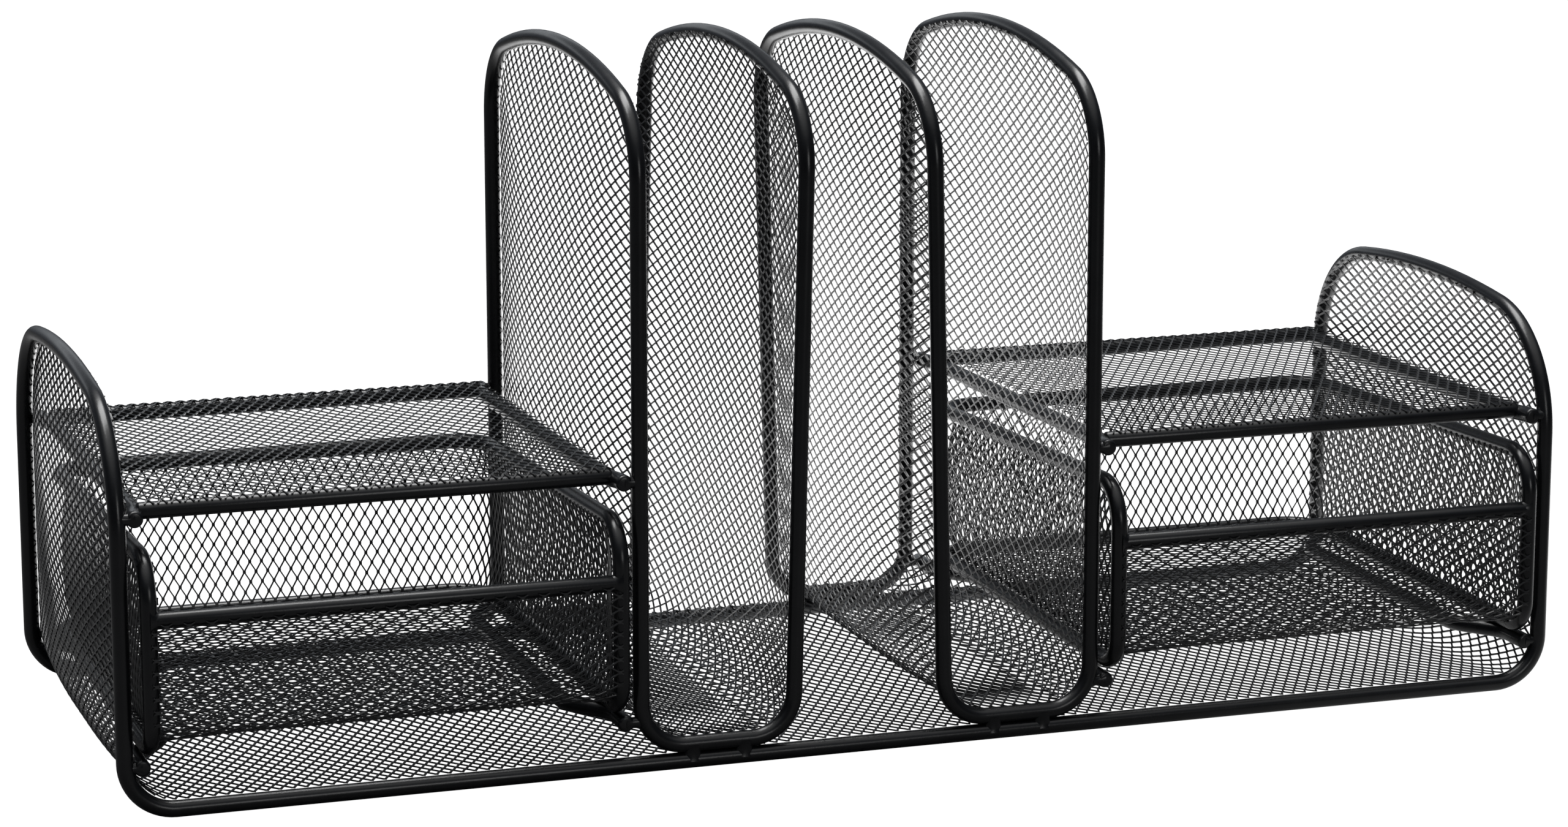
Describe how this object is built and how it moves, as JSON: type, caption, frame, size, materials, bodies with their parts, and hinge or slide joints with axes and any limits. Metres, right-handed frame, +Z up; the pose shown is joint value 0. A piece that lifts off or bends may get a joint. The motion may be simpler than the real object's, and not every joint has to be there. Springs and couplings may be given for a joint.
{
  "type": "desktop file sorter",
  "caption": "Wire and expanded-mesh desk tray with arched ends, upright letter pockets in the middle, and a shelf over a pull-out basket at each end.",
  "frame": {"origin": "middle of the footprint, on the desk under the tray wire", "axes": "+X along the width towards the right-hand bay, +Y from the front to the back, +Z up; the baskets pull out along -Y"},
  "size_m": [0.4064, 0.1526, 0.1876],
  "materials": {
    "wire": "satin black powder coat",
    "mesh": "satin black powder coat on expanded metal"
  },
  "bodies": {
    "frame": {"tray_wire": "wire", "tray_mesh": "mesh", "left_pocket_wire": "wire", "left_pocket_mesh": "mesh", "left_pocket_welds": "wire", "right_pocket_wire": "wire", "right_pocket_mesh": "mesh", "right_pocket_welds": "wire", "left_shelf_front_wire": "wire", "left_shelf_back_wire": "wire", "left_shelf_outer_rod": "wire", "left_shelf_inner_rod": "wire", "left_shelf_mesh": "mesh", "right_shelf_front_wire": "wire", "right_shelf_back_wire": "wire", "right_shelf_outer_rod": "wire", "right_shelf_inner_rod": "wire", "right_shelf_mesh": "mesh", "left_outer_runner": "wire", "left_inner_runner": "wire", "right_outer_runner": "wire", "right_inner_runner": "wire"},
    "left_basket": {"left_basket_wire": "wire", "left_basket_bar": "wire", "left_basket_wall_mesh": "mesh", "left_basket_floor_mesh": "mesh"},
    "right_basket": {"right_basket_wire": "wire", "right_basket_bar": "wire", "right_basket_wall_mesh": "mesh", "right_basket_floor_mesh": "mesh"}
  },
  "joints": [
    {"name": "left_basket_slide", "type": "slide", "parent": "frame", "child": "left_basket", "axis": [0, -1, 0], "range_m": [0, 0.14]},
    {"name": "right_basket_slide", "type": "slide", "parent": "frame", "child": "right_basket", "axis": [0, -1, 0], "range_m": [0, 0.14]}
  ]
}
